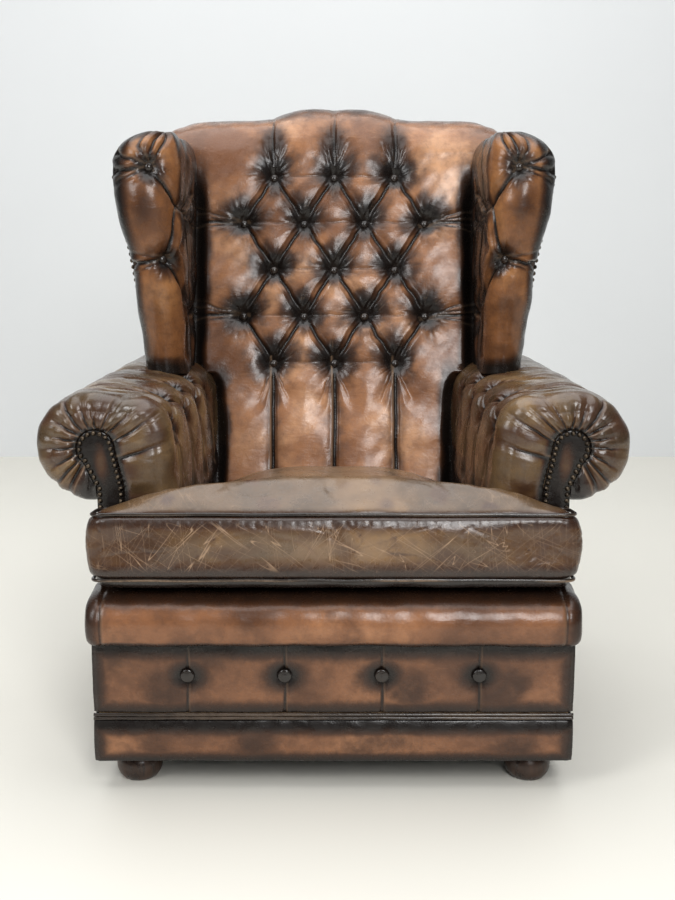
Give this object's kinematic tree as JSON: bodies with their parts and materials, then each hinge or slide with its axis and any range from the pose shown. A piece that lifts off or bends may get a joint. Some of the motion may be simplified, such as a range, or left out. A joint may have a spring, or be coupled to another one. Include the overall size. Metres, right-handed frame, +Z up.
{
  "type": "wing armchair",
  "caption": "Deep-buttoned leather wing armchair with rolled arms, a rolled crest, a loose T-shaped seat cushion, nailed edges and low bun feet.",
  "frame": {"origin": "on the floor, at the middle of the width and of the depth", "axes": "+Z up, the chair faces -Y, +X towards the right-hand side as seen from in front"},
  "size_m": [0.8904, 0.9002, 1.068],
  "materials": {
    "leather_back": "satin, hand-rubbed reddish brown",
    "leather_wing": "satin, hand-rubbed brown",
    "leather_arm": "satin, hand-rubbed olive brown",
    "leather_facing": "satin, dark brown",
    "leather_cushion": "satin, worn olive brown",
    "leather_base": "satin, hand-rubbed brown",
    "leather_trim": "semi-gloss, dark brown",
    "nail_brass": "aged, dark",
    "foot_wood": "satin, dark stain",
    "frame_wood": "sawn",
    "spring_steel": "bare",
    "hessian": "woven",
    "deck_cloth": "woven, black"
  },
  "bodies": {
    "chair": {"inside_back": "leather_back", "left_inside_wing": "leather_wing", "right_inside_wing": "leather_wing", "left_outside_wing": "leather_wing", "right_outside_wing": "leather_wing", "left_inside_arm": "leather_arm", "right_inside_arm": "leather_arm", "left_outside_arm": "leather_arm", "right_outside_arm": "leather_arm", "outside_back": "leather_arm", "left_arm_facing": "leather_facing", "right_arm_facing": "leather_facing", "front_lip": "leather_base", "front_apron": "leather_base", "base_band": "leather_base", "arm_buttons": "leather_trim", "back_buttons": "leather_trim", "wing_buttons": "leather_trim", "apron_buttons": "leather_trim", "base_cords": "leather_trim", "facing_nails": "nail_brass", "wing_nails": "nail_brass", "back_nails": "nail_brass", "front_left_foot": "foot_wood", "front_right_foot": "foot_wood", "rear_left_foot": "foot_wood", "rear_right_foot": "foot_wood", "front_rail": "frame_wood", "left_side_rail": "frame_wood", "right_side_rail": "frame_wood", "rear_rail": "frame_wood", "corner_blocks": "frame_wood", "left_arm_stump": "frame_wood", "right_arm_stump": "frame_wood", "left_arm_rail": "frame_wood", "right_arm_rail": "frame_wood", "left_arm_tacking_rail": "frame_wood", "right_arm_tacking_rail": "frame_wood", "left_back_post": "frame_wood", "right_back_post": "frame_wood", "crest_rail": "frame_wood", "lower_back_rail": "frame_wood", "left_wing_frame": "frame_wood", "right_wing_frame": "frame_wood", "seat_springs": "spring_steel", "back_springs": "spring_steel", "spring_clips": "spring_steel", "foot_bolts": "spring_steel", "foot_tee_nuts": "spring_steel", "block_screws": "spring_steel", "seat_hessian": "hessian", "back_hessian": "hessian", "seat_deck": "deck_cloth", "dust_cover": "deck_cloth"},
    "cushion": {"seat_cushion": "leather_cushion", "cushion_piping": "leather_trim"}
  },
  "joints": [
    {"name": "cushion_slide", "type": "slide", "parent": "chair", "child": "cushion", "axis": [0, -0.9976, 0.0698], "range_m": [0, 0.5]}
  ]
}
